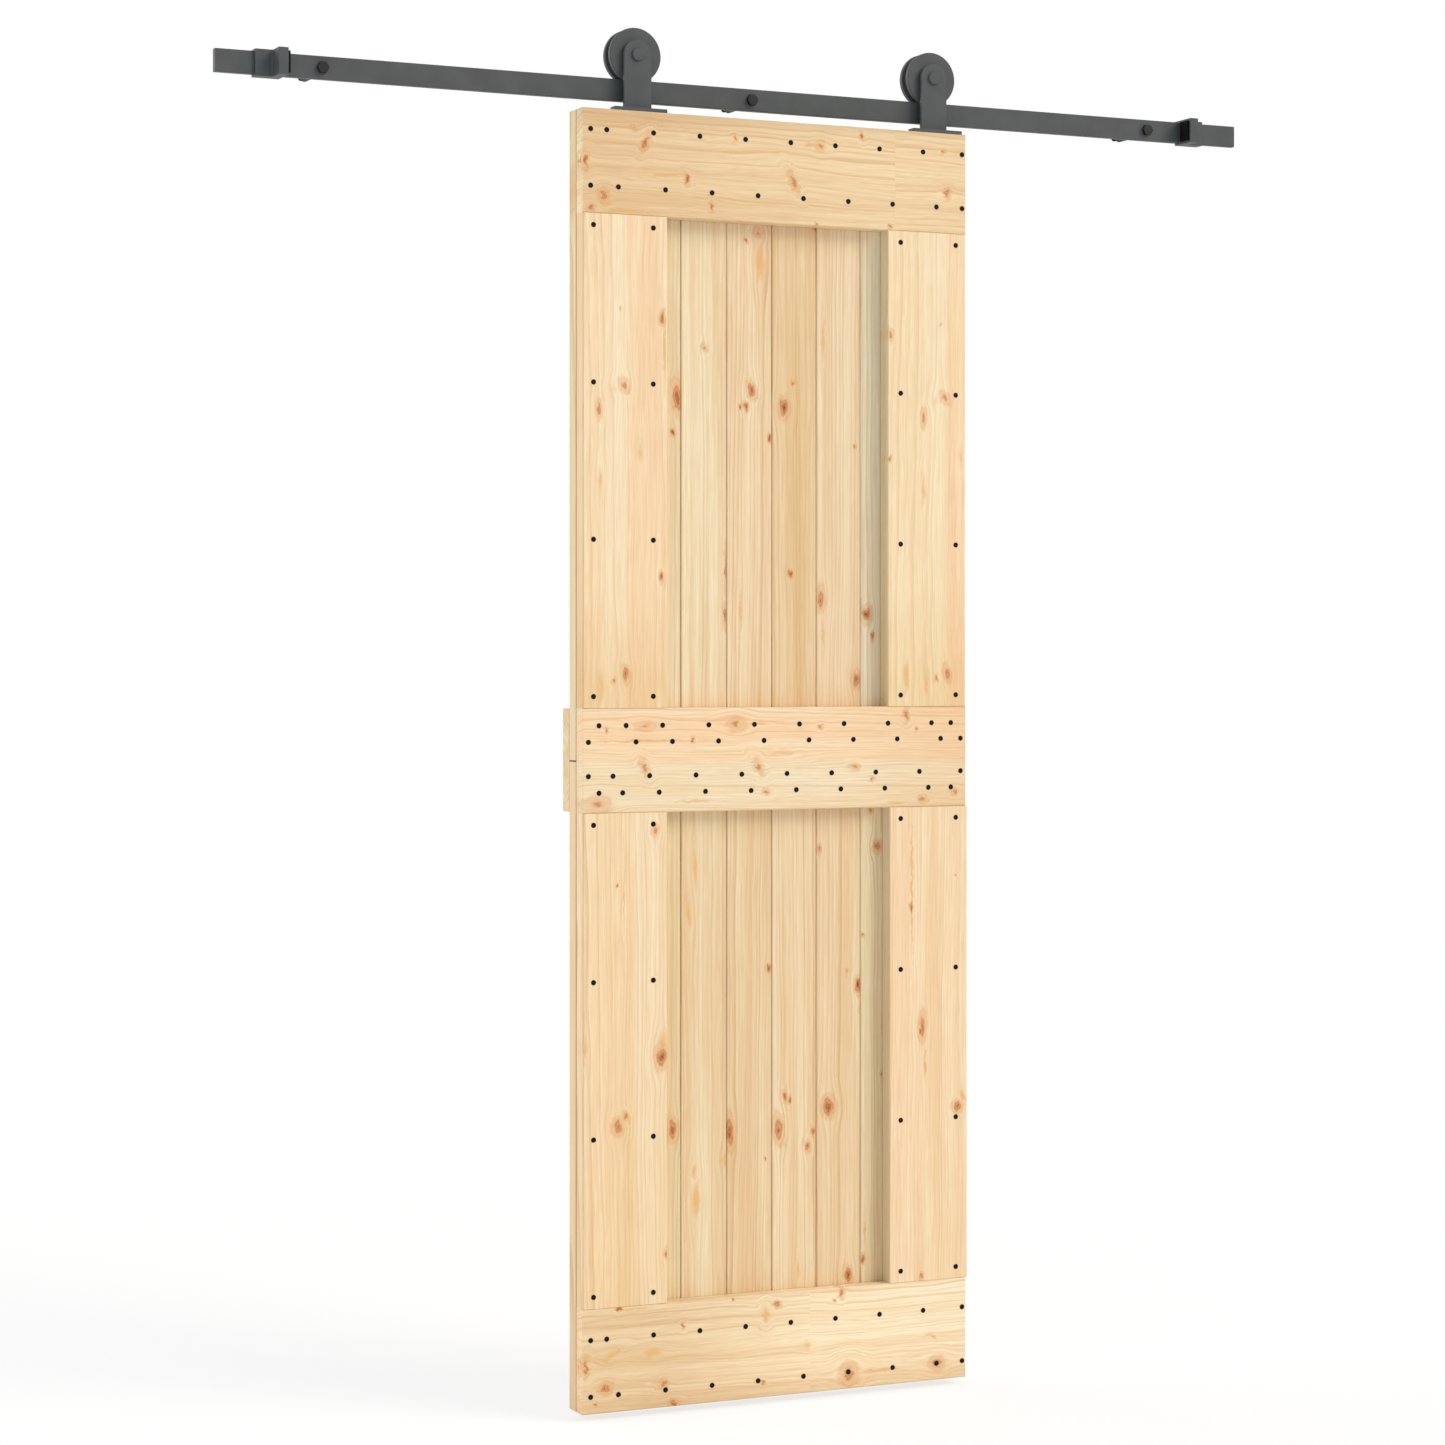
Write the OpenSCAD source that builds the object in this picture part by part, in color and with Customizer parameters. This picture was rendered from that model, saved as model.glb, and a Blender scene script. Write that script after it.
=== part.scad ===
// Sliding barn door: a boarded pine leaf on two grooved rollers that run on a flat steel rail.
// X runs along the rail, Y points into the wall and Z points up.
// The origin is where the axis of the middle wall bolt meets the wall.

/* [Door leaf] */
// Width of the door leaf
door_w = 700; // [600:5:1000]
// Height of the door leaf
door_h = 2100; // [1800:10:2400]
// Distance from the middle wall bolt to the left edge of the leaf
door_left = 316.4; // [250:0.2:400]
// Height of the top, middle and bottom rails of the frame
cross_h = 169; // [140:1:200]
// Width of the stiles of the frame
stile_w = 148; // [135:1:180]
// Thickness of the frame boards
frame_t = 28; // [24:1:36]
// Thickness of the vertical boards
board_t = 28; // [20:1:36]
// Height of the batten on the back
batten_h = 167; // [120:1:200]
// Thickness of the batten on the back
batten_t = 28; // [18:1:36]
// How far the lower right stile stands out past the edge of the leaf
stile_shift = 3.5; // [0:0.5:6]
// Width of the eased long edges of frame boards and batten
eased_edge = 1.5; // [0.5:0.5:3]

/* [Tongue and groove] */
// Extra width of the first and last board
edge_board_extra = 20; // [5:1:40]
// Thickness of a tongue
tongue_t = 8; // [5:0.5:10]
// Length of a tongue
tongue_l = 8; // [5:0.5:12]
// Width of the chamfer along the front edges of a board
vee_w = 1.5; // [0.5:0.5:4]
// Open joint between two boards
joint_gap = 1; // [0.2:0.1:2]
// Play of a tongue in its groove, on each side
tongue_play = 0.3; // [0.1:0.1:0.6]

/* [Nails] */
// Diameter of a nail head
nail_head_d = 8.5; // [5:0.5:10]
// Thickness of a nail head
nail_head_t = 1.5; // [1:0.1:3]
// How far a nail head stands out of the wood
nail_proud = 0.4; // [0.2:0.1:1]
// Diameter of a nail shank
nail_d = 3; // [2:0.2:4]
// Wood left behind the nail tips
nail_cover = 8; // [4:1:14]
// Distance of the upper nail row from the top edge of the top rail
top_rail_upper_row = 34; // [24:1:45]
// Distance of the lower nail row from the bottom edge of the top rail
top_rail_lower_row = 44; // [20:1:55]
// Distance of the upper nail row from the top edge of the bottom rail
bottom_rail_upper_row = 50; // [20:1:60]
// Distance of the lower nail row from the bottom edge of the bottom rail
bottom_rail_lower_row = 28; // [20:1:55]
// Distance of the two upper nail rows from the top edge of the middle rail
middle_upper_rows = [28, 54.5]; // [12:0.5:65]
// Distance of the two lower nail rows from the bottom edge of the middle rail
middle_lower_rows = [59.5, 32.5]; // [12:0.5:65]
// Nail places in the two rows of the top and bottom rails, from each board's left seam
short_row_places = [21.5, 42]; // [10:0.5:65]
// How much further right each next nail sits in the two rows of the top and bottom rails
short_row_drift = [0, 0.7]; // [0:0.1:1]
// Nail places in the four rows of the middle rail, from each board's left seam
middle_row_places = [37.5, 55, 14.5, 31.5]; // [10:0.5:65]
// Extra distance of the middle rail's nails in the first board
first_board_shift = 18; // [0:1:25]
// Distance of the end nails from the left and right ends of the top and bottom rails
end_nail_insets = [13.5, 6.5]; // [6:0.5:16]
// Distance of the end nails in the inner two rows of the middle rail
middle_inner_inset = 9.5; // [8:0.5:16]
// Distance of the end nails in the outer two rows of the middle rail
middle_end_inset = 28; // [20:0.5:35]
// Distance of the outer nail column from the edge of the leaf
outer_column = 18.5; // [12:0.5:30]
// Distance of the inner nail column from the inner edge of a stile
inner_column = 24.5; // [12:0.5:40]
// Distance of the first and last stile nails from the ends of a stile
stile_nail_inset = 19; // [12:1:40]
// Number of nails in each column of a stile
column_nails = 4; // [2:1:6]

/* [Rail] */
// Height of the flat steel rail
track_h = 36; // [34:1:50]
// Thickness of the flat steel rail
track_t = 12; // [6:0.5:14]
// Distance between the left and middle wall bolts
left_pitch = 742; // [600:1:900]
// Distance between the middle and right wall bolts
right_pitch = 764; // [600:1:900]
// Length of rail past the left wall bolt
left_end = 173; // [150:1:250]
// Length of rail past the right wall bolt
right_end = 181.5; // [150:0.5:250]
// Width of the chamfer on the long edges of the rail
track_edge = 0.8; // [0.2:0.1:1.5]

/* [Wall fixing] */
// Diameter of the wall bolts
bolt_d = 10; // [8:1:12]
// Width of the bolt heads across the flats
bolt_flats = 17; // [13:1:19]
// Height of the bolt heads
bolt_head_h = 6.4; // [5:0.2:8]
// Length of threaded end that stands out past the wall plane
bolt_free = 18; // [12:1:80]
// How much smaller the threaded end is than the bolt, on the radius
thread_relief = 0.5; // [0.3:0.05:0.8]
// Outside diameter of the tube spacers
spacer_d = 17; // [16:1:22]
// Length of the tube spacers
spacer_l = 80; // [60:1:120]
// Play of a bolt in its holes, on each side
bolt_play = 0.3; // [0.1:0.1:0.5]

/* [Wheels] */
// Radius of the tread that rolls on the rail
tread_r = 38.5; // [32:0.5:50]
// Height of the flanges above the tread
flange_h = 6.5; // [4:0.5:8]
// Thickness of each flange
flange_t = 8.5; // [5:0.5:10]
// Play of the rail between the flanges, on each side
groove_play = 0.5; // [0.3:0.1:1.5]
// Running gap between tread and rail
tread_gap = 0.3; // [0.2:0.1:0.5]
// Width of the rounding at the flange edges
flange_edge = 1; // [0.4:0.2:2]
// Outside diameter of the ball bearing
bearing_d = 32; // [28:1:35]
// Width of the ball bearing
bearing_w = 10; // [8:1:12]
// Thickness of the bearing's rings
ring_t = 2.5; // [1.5:0.1:3.5]
// Depth of the bearing's shields behind its rings
shield_drop = 0.6; // [0.2:0.1:1.5]
// Depth of the relief around the bearing's seat, on the radius
seat_relief = 1.5; // [0.5:0.5:3]

/* [Axles] */
// Diameter of the axle bolts
axle_d = 12; // [10:1:14]
// Diameter of the round axle caps
cap_d = 21.7; // [18:0.1:26]
// Height of the round axle caps
cap_h = 3.5; // [2:0.5:6]
// Width of the chamfer around an axle cap
cap_edge = 1.2; // [0.4:0.2:1.8]
// Outside diameter of the spacers beside the bearing
collar_d = 18; // [16:0.5:20]
// Running clearance of an axle in its bearing, on the radius
axle_play = 0.05; // [0.02:0.01:0.1]
// Running gap at the ends of a bearing
end_play = 0.3; // [0.2:0.1:0.5]
// Width of the axle nuts across the flats
nut_flats = 18; // [17:0.5:22]
// Height of the axle nuts
nut_h = 10; // [7:0.5:12]
// Length of axle that stands out past its nut
axle_tail = 2; // [1:0.5:5]

/* [Hangers] */
// Distance of the left hanger from the left edge of the leaf
left_hanger_inset = 103.3; // [80:0.1:160]
// Distance of the right hanger from the right edge of the leaf
right_hanger_inset = 51.5; // [48:0.5:160]
// Width of the strap
strap_w = 48; // [40:1:56]
// Thickness of the hanger plate
plate_t = 6; // [4:0.5:8]
// Gap between the strap and the wheel
wheel_gap = 3.8; // [2:0.1:6]
// Length of the foot along the door
foot_l = 92; // [88:1:110]
// How far the foot reaches forward of the strap
foot_reach = 14; // [12:1:20]
// Distance of the foot behind the face of the door
foot_setback = 2; // [0:0.5:4]
// Clear height between the rail and the top of the leaf
door_gap = 19.4; // [12:0.2:40]
// Inner radius of the bend between strap and foot
bend_r = 3; // [1:0.5:6]
// Diameter of a foot screw
screw_d = 5; // [4:0.2:6]
// Diameter of the head of a foot screw
screw_head_d = 9.6; // [8:0.2:11]
// Width of a foot screw's hexagon socket across the flats
screw_socket = 3; // [2:0.5:3.5]
// Depth of a foot screw's hexagon socket
screw_socket_depth = 2; // [1.5:0.1:2.2]
// Wood left between the tip of a foot screw and the first nail row
screw_to_nails = 6; // [3:0.5:12]
// Play of a foot screw in its hole, on each side
screw_play = 0.3; // [0.1:0.1:0.5]

/* [End stops] */
// Distance of the left stop from the left end of the rail
left_stop_inset = 62.5; // [40:0.5:100]
// Distance of the right stop from the right end of the rail
right_stop_inset = 70; // [40:0.5:100]
// Length of a stop's collar along the rail
stop_l = 44; // [36:1:60]
// Thickness of the collar in front of the rail
stop_front_t = 5; // [3:0.5:8]
// Thickness of the collar above, below and behind the rail
stop_wall_t = 3; // [2:0.5:5]
// Thickness of the stop's leg
leg_t = 15.5; // [8:0.5:20]
// How far the leg reaches forward of the rail
leg_reach = 36; // [28:1:50]
// Radius of the fillet between collar and leg
leg_fillet = 3; // [1:0.5:6]
// Thickness of the rubber pad on the leg
pad_t = 4.5; // [4:0.5:8]
// Distance of the rubber pad from the edges of the leg
pad_inset = 4; // [2:0.5:8]
// Diameter of the set screw in the back of the collar
set_screw_d = 6; // [4:0.5:8]
// Length of the set screw
set_screw_l = 6; // [5:0.5:10]
// Width of the set screw's hexagon socket across the flats
set_screw_socket = 3; // [2:0.5:3.5]
// Depth of the set screw's hexagon socket
set_screw_socket_depth = 3; // [2:0.5:4]
// Clearance of the set screw in its hole, on the radius
set_screw_play = 0.05; // [0.02:0.01:0.1]

/* [Hidden] */
$fn = 72;
PINE = "#e6c592";
PINE_SHADE = "#d9b681";
STEEL = "#525554";
BLACK_STEEL = "#3a3c3b";
RUBBER = "#161616";
NAIL = "#2a2724";
ZINC = "#a9abab";

// Number of boards side by side
board_count = 8;
// Overrun of a cut past the faces that it goes through
cut = 1;

// Depth, counted from the wall plane towards the viewer
track_back = -spacer_l;
track_front = track_back - track_t;
groove_w = track_t + 2 * groove_play;
wheel_w = groove_w + 2 * flange_t;
wheel_mid = (track_back + track_front) / 2;
wheel_front = wheel_mid - wheel_w / 2;
strap_back = wheel_front - wheel_gap;
strap_front = strap_back - plate_t;
foot_front = strap_front - foot_reach;
door_front = foot_front - foot_setback;
boards_front = door_front + frame_t;
boards_back = boards_front + board_t;
bearing_front = wheel_mid - bearing_w / 2;
bearing_back = wheel_mid + bearing_w / 2;
nut_front = wheel_mid + wheel_w / 2 + wheel_gap;
screw_y = foot_front + (foot_reach + plate_t) / 2;
stop_front = track_front - stop_front_t;
leg_front = track_front - leg_reach;

// Height, counted from the rail's middle
track_top = track_h / 2;
axle_z = track_top + tread_gap + tread_r;
door_top = -track_h / 2 - door_gap;
door_bottom = door_top - door_h;
opening_h = (door_h - 3 * cross_h) / 2;
middle_bottom = door_bottom + cross_h + opening_h;
middle_top = middle_bottom + cross_h;
foot_top = door_top + plate_t;
stop_h = track_h + 2 * stop_wall_t;
screw_l = top_rail_upper_row - screw_to_nails;
screw_head_h = (screw_head_d - screw_d) / 2;
middle_rows = concat(
    [for (drop = middle_upper_rows) middle_top - drop],
    [for (rise = middle_lower_rows) middle_bottom + rise]
);

// Positions along the rail
door_x = -door_left;
door_end = door_x + door_w;
track_x = -left_pitch - left_end;
track_end = right_pitch + right_end;
board_pitch = (door_w - 2 * edge_board_extra) / board_count;
left_hanger_x = door_x + left_hanger_inset;
right_hanger_x = door_end - right_hanger_inset;
left_stop_face = track_x + left_stop_inset + stop_l;
right_stop_face = track_end - right_stop_inset - stop_l;
screw_offset = (strap_w + foot_l) / 4;
nail_columns = [outer_column, stile_w - inner_column];
middle_end_insets = [middle_end_inset, middle_inner_inset, middle_inner_inset, middle_end_inset];

// Fits: diameters of the bores that take an axle, a wall bolt, a foot screw or a set screw
axle_bore = axle_d + 2 * axle_play;
bolt_bore = bolt_d + 2 * bolt_play;
screw_bore = screw_d + 2 * screw_play;
set_screw_bore = set_screw_d + 2 * set_screw_play;

// Left seam of a board, counted from 1
function seam(i) = i == 1 ? 0 : i > board_count ? door_w : edge_board_extra + (i - 1) * board_pitch;

// Rectangle with its four corners cut at 45 degrees
function eased(w, t, e) = [
    [e, 0], [w - e, 0], [w, e], [w, t - e], [w - e, t], [e, t], [0, t - e], [0, e]
];

// Radius of a hexagon from its width across the flats
function hex_r(flats) = flats / 2 / cos(30);

// Places its children with their Z axis along Y, into the wall
module along_y() {
    rotate([-90, 0, 0]) children();
}

// Board that runs along X, from its lower left front corner
module planed_across(l, h, t) {
    rotate([90, 0, 90]) linear_extrude(height = l) polygon(eased(t, h, eased_edge));
}

// Board that runs along Z, from its lower left front corner
module planed_upright(w, l, t) {
    linear_extrude(height = l) polygon(eased(w, t, eased_edge));
}

// Section of a board: groove on the left, tongue on the right, chamfers along the front
module board_section(w, has_groove, has_tongue) {
    gap = joint_gap / 2;
    left = has_groove ? gap : 0;
    right = has_tongue ? w - gap : w;
    mid = board_t / 2;
    groove_half = tongue_t / 2 + tongue_play;
    groove_l = tongue_l + tongue_play;
    difference() {
        union() {
            polygon([
                [left + vee_w, 0], [right - vee_w, 0], [right, vee_w],
                [right, board_t], [left, board_t], [left, vee_w]
            ]);
            if (has_tongue)
                translate([right - gap, mid - tongue_t / 2])
                    square([tongue_l + 2 * gap, tongue_t]);
        }
        if (has_groove)
            translate([left - gap, mid - groove_half])
                square([groove_l + 2 * gap, 2 * groove_half]);
    }
}

module board(i) {
    color(PINE_SHADE)
        translate([door_x + seam(i), boards_front, door_bottom])
            linear_extrude(height = door_h)
                board_section(seam(i + 1) - seam(i), i > 1, i < board_count);
}

module cross_rail(z) {
    color(PINE) translate([door_x, door_front, z]) planed_across(door_w, cross_h, frame_t);
}

module stile(x, z) {
    color(PINE) translate([x, door_front, z]) planed_upright(stile_w, opening_h, frame_t);
}

module back_batten() {
    color(PINE)
        translate([door_x, boards_back, (middle_bottom + middle_top - batten_h) / 2])
            planed_across(door_w, batten_h, batten_t);
}

// Nail with its head on the front of the leaf and its point in the wood
module nail(x, z, depth) {
    color(NAIL) translate([x, door_front, z]) along_y() {
        translate([0, 0, -nail_proud]) cylinder(d = nail_head_d, h = nail_head_t, $fn = 24);
        cylinder(d = nail_d, h = depth, $fn = 16);
    }
}

// Row of nails across the leaf: one at each end and one in each board
module nail_row(z, place, drift, insets, first_shift, depth) {
    for (x = [insets[0], door_w - insets[1]]) nail(door_x + x, z, depth);
    for (i = [1:board_count]) {
        from = i == 1 ? edge_board_extra + first_shift : seam(i);
        nail(door_x + from + place + (i - 1) * drift, z, depth);
    }
}

// Two rows of nails through a rail of the frame and the boards
module short_rail_nails(rows) {
    depth = frame_t + board_t - nail_cover;
    for (k = [0:len(rows) - 1])
        nail_row(rows[k], short_row_places[k], short_row_drift[k], end_nail_insets, 0, depth);
}

module top_rail_nails() {
    short_rail_nails([door_top - top_rail_upper_row, door_top - cross_h + top_rail_lower_row]);
}

module bottom_rail_nails() {
    short_rail_nails([door_bottom + cross_h - bottom_rail_upper_row, door_bottom + bottom_rail_lower_row]);
}

// Four rows of nails through the middle rail and the boards into the batten
module middle_rail_nails() {
    depth = frame_t + board_t + batten_t - nail_cover;
    for (k = [0:len(middle_rows) - 1]) {
        inset = middle_end_insets[k];
        nail_row(middle_rows[k], middle_row_places[k], 0, [inset, inset], first_board_shift, depth);
    }
}

module stile_nails() {
    step = (opening_h - 2 * stile_nail_inset) / (column_nails - 1);
    depth = frame_t + board_t - nail_cover;
    for (bottom = [door_bottom + cross_h, middle_top])
        for (k = [0:column_nails - 1])
            for (x = concat(nail_columns, [for (c = nail_columns) door_w - c]))
                nail(door_x + x, bottom + stile_nail_inset + k * step, depth);
}

// Side view of a hanger: strap and foot with the inner radius of their bend
module hanger_profile() {
    translate([strap_front, door_top]) square([plate_t, axle_z - door_top]);
    translate([foot_front, door_top]) square([foot_reach + plate_t, plate_t]);
    translate([strap_front - bend_r, foot_top]) difference() {
        square(bend_r);
        translate([0, bend_r]) circle(r = bend_r);
    }
}

// Strap with a round top over the axle and a wider foot bent forward on the top of the leaf
module hanger(x) {
    color(STEEL) difference() {
        union() {
            translate([x, strap_front, axle_z]) along_y() cylinder(d = strap_w, h = plate_t);
            translate([x - strap_w / 2, 0, 0]) rotate([90, 0, 90])
                linear_extrude(height = strap_w) hanger_profile();
            translate([x - foot_l / 2, foot_front, door_top])
                cube([foot_l, foot_reach + plate_t, plate_t]);
        }
        translate([x, strap_front - cut, axle_z]) along_y() cylinder(d = axle_bore, h = plate_t + 2 * cut);
        for (side = [-1, 1]) translate([x + side * screw_offset, screw_y, door_top]) screw_hole();
    }
}

// Countersunk hole through the foot
module screw_hole() {
    sink_h = screw_head_h + 2 * screw_play;
    translate([0, 0, -cut]) cylinder(d = screw_bore, h = plate_t + 2 * cut);
    translate([0, 0, plate_t - screw_head_h - screw_play])
        cylinder(d1 = screw_bore, d2 = screw_bore + 2 * sink_h, h = sink_h);
}

// Hexagon socket for a key, sunk from Z = 0
module hex_socket(flats, depth) {
    translate([0, 0, -depth]) cylinder(r = hex_r(flats), h = depth + cut, $fn = 6);
}

module foot_screw(x) {
    color(BLACK_STEEL) translate([x, screw_y, door_top]) difference() {
        rotate_extrude() polygon([
            [0, plate_t], [screw_head_d / 2, plate_t], [screw_d / 2, plate_t - screw_head_h],
            [screw_d / 2, -screw_l + screw_d], [0, -screw_l]
        ]);
        translate([0, 0, plate_t]) hex_socket(screw_socket, screw_socket_depth);
    }
}

module hanger_screws() {
    for (x = [left_hanger_x, right_hanger_x], side = [-1, 1]) foot_screw(x + side * screw_offset);
}

// Axle with a low round cap in front of the strap
module axle_bolt(x) {
    axle_l = nut_front + nut_h + axle_tail - strap_front;
    color(STEEL) translate([x, strap_front, axle_z]) along_y() rotate_extrude() polygon([
        [0, -cap_h], [cap_d / 2 - cap_edge, -cap_h], [cap_d / 2, cap_edge - cap_h], [cap_d / 2, 0],
        [axle_d / 2, 0], [axle_d / 2, axle_l], [0, axle_l]
    ]);
}

// Tube along Y between two depths
module tube(x, z, front, back, outer_d, bore_d) {
    translate([x, front, z]) along_y() difference() {
        cylinder(d = outer_d, h = back - front);
        translate([0, 0, -cut]) cylinder(d = bore_d, h = back - front + 2 * cut);
    }
}

module front_spacer(x) {
    color(ZINC) tube(x, axle_z, strap_back, bearing_front - end_play, collar_d, axle_bore);
}

module rear_spacer(x) {
    color(ZINC) tube(x, axle_z, bearing_back + end_play, nut_front, collar_d, axle_bore);
}

module axle_nut(x) {
    color(ZINC) translate([x, nut_front, axle_z]) along_y() difference() {
        hex_head(nut_flats, nut_h);
        translate([0, 0, -cut]) cylinder(d = axle_bore, h = nut_h + 2 * cut);
    }
}

// Hexagonal prism along Z with its far corners turned off
module hex_head(flats, h) {
    turned = (hex_r(flats) - flats / 2) / sqrt(3);
    intersection() {
        cylinder(r = hex_r(flats), h = h, $fn = 6);
        rotate_extrude() polygon([
            [0, 0], [hex_r(flats), 0], [hex_r(flats), h - turned], [flats / 2, h], [0, h]
        ]);
    }
}

// Grooved wheel: two flanges beside the tread, and a seat for the bearing in the middle
module wheel(x) {
    flange_r = tread_r + flange_h;
    half = wheel_w / 2;
    groove = groove_w / 2;
    bore = bearing_d / 2;
    seat = bearing_w / 2;
    color(STEEL) translate([x, wheel_mid, axle_z]) along_y() rotate_extrude($fn = 120) polygon([
        [bore + seat_relief, -half], [flange_r - flange_edge, -half], [flange_r, -half + flange_edge],
        [flange_r, -groove - flange_edge], [flange_r - flange_edge, -groove], [tread_r, -groove],
        [tread_r, groove], [flange_r - flange_edge, groove], [flange_r, groove + flange_edge],
        [flange_r, half - flange_edge], [flange_r - flange_edge, half], [bore + seat_relief, half],
        [bore + seat_relief, seat], [bore, seat], [bore, -seat], [bore + seat_relief, -seat]
    ]);
}

// Ball bearing: an inner and an outer ring with a sunk shield between them on both sides
module bearing(x) {
    inner = axle_bore / 2;
    outer = bearing_d / 2;
    half = bearing_w / 2;
    shield = half - shield_drop;
    color(ZINC) translate([x, wheel_mid, axle_z]) along_y() rotate_extrude() polygon([
        [inner, -half], [inner + ring_t, -half], [inner + ring_t, -shield], [outer - ring_t, -shield],
        [outer - ring_t, -half], [outer, -half], [outer, half], [outer - ring_t, half],
        [outer - ring_t, shield], [inner + ring_t, shield], [inner + ring_t, half], [inner, half]
    ]);
}

module rail() {
    color(STEEL) difference() {
        translate([track_x, track_front, -track_h / 2]) rotate([90, 0, 90])
            linear_extrude(height = track_end - track_x) polygon(eased(track_t, track_h, track_edge));
        for (x = [-left_pitch, 0, right_pitch])
            translate([x, track_front - cut, 0]) along_y() cylinder(d = bolt_bore, h = track_t + 2 * cut);
    }
}

// Bolt with its head on the front of the rail and its threaded end past the wall plane
module wall_bolt(x) {
    color(BLACK_STEEL) translate([x, track_front, 0]) along_y() {
        mirror([0, 0, 1]) hex_head(bolt_flats, bolt_head_h);
        cylinder(d = bolt_d, h = track_t + spacer_l);
        cylinder(d = bolt_d - 2 * thread_relief, h = track_t + spacer_l + bolt_free);
    }
}

module wall_spacer(x) {
    color(BLACK_STEEL) tube(x, 0, track_back, 0, spacer_d, bolt_bore);
}

// Collar around the rail with a leg that reaches forward; side is 1 where the leg faces right
module stop(face, side) {
    color(STEEL) difference() {
        translate([face, 0, -stop_h / 2]) linear_extrude(height = stop_h)
            mirror([side > 0 ? 0 : 1, 0]) stop_plan();
        translate([face - side * stop_l / 2, wheel_mid, 0])
            cube([stop_l + 2 * cut, track_t, track_h], center = true);
        translate([set_screw_x(face, side), track_back - cut, 0]) along_y()
            cylinder(d = set_screw_bore, h = stop_wall_t + 2 * cut);
    }
}

// Plan of a stop with its face at X = 0 and its collar towards negative X
module stop_plan() {
    translate([-stop_l, stop_front]) square([stop_l, stop_front_t + track_t + stop_wall_t]);
    translate([-leg_t, leg_front]) square([leg_t, leg_reach]);
    translate([-leg_t - leg_fillet, stop_front - leg_fillet]) difference() {
        square(leg_fillet);
        circle(r = leg_fillet);
    }
}

// Place of a set screw along the rail, in the middle of the collar behind the leg
function set_screw_x(face, side) = face - side * (stop_l + leg_t) / 2;

module stop_pad(face, side) {
    pad_x = side > 0 ? face : face - pad_t;
    pad_w = stop_front - leg_front - 2 * pad_inset;
    color(RUBBER) translate([pad_x, leg_front + pad_inset, pad_inset - stop_h / 2])
        cube([pad_t, pad_w, stop_h - 2 * pad_inset]);
}

module stop_set_screws() {
    for (x = [set_screw_x(left_stop_face, 1), set_screw_x(right_stop_face, -1)])
        color(BLACK_STEEL) translate([x, track_back, 0]) along_y() difference() {
            cylinder(d = set_screw_d, h = set_screw_l);
            translate([0, 0, set_screw_l]) hex_socket(set_screw_socket, set_screw_socket_depth);
        }
}

board(1);  // board_1
board(2);  // board_2
board(3);  // board_3
board(4);  // board_4
board(5);  // board_5
board(6);  // board_6
board(7);  // board_7
board(8);  // board_8
cross_rail(door_top - cross_h);  // top_rail
cross_rail(middle_bottom);  // middle_rail
cross_rail(door_bottom);  // bottom_rail
stile(door_x, middle_top);  // upper_left_stile
stile(door_end - stile_w, middle_top);  // upper_right_stile
stile(door_x, door_bottom + cross_h);  // lower_left_stile
stile(door_end - stile_w + stile_shift, door_bottom + cross_h);  // lower_right_stile
back_batten();
top_rail_nails();
middle_rail_nails();
bottom_rail_nails();
stile_nails();
hanger(left_hanger_x);  // left_hanger
hanger(right_hanger_x);  // right_hanger
hanger_screws();
axle_bolt(left_hanger_x);  // left_axle_bolt
axle_bolt(right_hanger_x);  // right_axle_bolt
front_spacer(left_hanger_x);  // left_front_spacer
front_spacer(right_hanger_x);  // right_front_spacer
rear_spacer(left_hanger_x);  // left_rear_spacer
rear_spacer(right_hanger_x);  // right_rear_spacer
axle_nut(left_hanger_x);  // left_axle_nut
axle_nut(right_hanger_x);  // right_axle_nut
wheel(left_hanger_x);  // left_wheel
wheel(right_hanger_x);  // right_wheel
bearing(left_hanger_x);  // left_bearing
bearing(right_hanger_x);  // right_bearing
rail();
wall_bolt(-left_pitch);  // left_wall_bolt
wall_bolt(0);  // middle_wall_bolt
wall_bolt(right_pitch);  // right_wall_bolt
wall_spacer(-left_pitch);  // left_wall_spacer
wall_spacer(0);  // middle_wall_spacer
wall_spacer(right_pitch);  // right_wall_spacer
stop(left_stop_face, 1);  // left_stop
stop(right_stop_face, -1);  // right_stop
stop_pad(left_stop_face, 1);  // left_stop_pad
stop_pad(right_stop_face, -1);  // right_stop_pad
stop_set_screws();
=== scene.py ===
"""Looks of a sliding barn door: a knotty pine leaf on a powder-coated steel rail with two rollers."""

import math

import bpy
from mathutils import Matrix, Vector


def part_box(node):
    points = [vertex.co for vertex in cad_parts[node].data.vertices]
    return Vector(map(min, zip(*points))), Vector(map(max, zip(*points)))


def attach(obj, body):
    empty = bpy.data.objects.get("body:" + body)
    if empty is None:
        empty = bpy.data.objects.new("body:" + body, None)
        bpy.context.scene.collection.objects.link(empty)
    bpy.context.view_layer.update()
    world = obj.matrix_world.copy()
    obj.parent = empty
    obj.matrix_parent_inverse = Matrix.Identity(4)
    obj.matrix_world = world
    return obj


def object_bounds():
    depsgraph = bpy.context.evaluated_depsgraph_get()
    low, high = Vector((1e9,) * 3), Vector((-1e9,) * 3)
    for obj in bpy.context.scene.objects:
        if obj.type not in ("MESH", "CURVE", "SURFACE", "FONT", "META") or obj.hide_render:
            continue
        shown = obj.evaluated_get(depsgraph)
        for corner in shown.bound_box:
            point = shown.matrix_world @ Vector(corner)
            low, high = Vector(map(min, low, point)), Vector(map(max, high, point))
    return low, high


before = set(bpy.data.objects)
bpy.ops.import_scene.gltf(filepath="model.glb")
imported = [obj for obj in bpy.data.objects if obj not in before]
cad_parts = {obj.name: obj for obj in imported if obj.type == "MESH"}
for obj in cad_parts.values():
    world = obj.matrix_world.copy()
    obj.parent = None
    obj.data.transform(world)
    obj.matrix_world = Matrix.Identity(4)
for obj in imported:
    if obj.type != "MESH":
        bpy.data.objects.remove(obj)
cad_low, cad_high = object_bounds()

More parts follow.
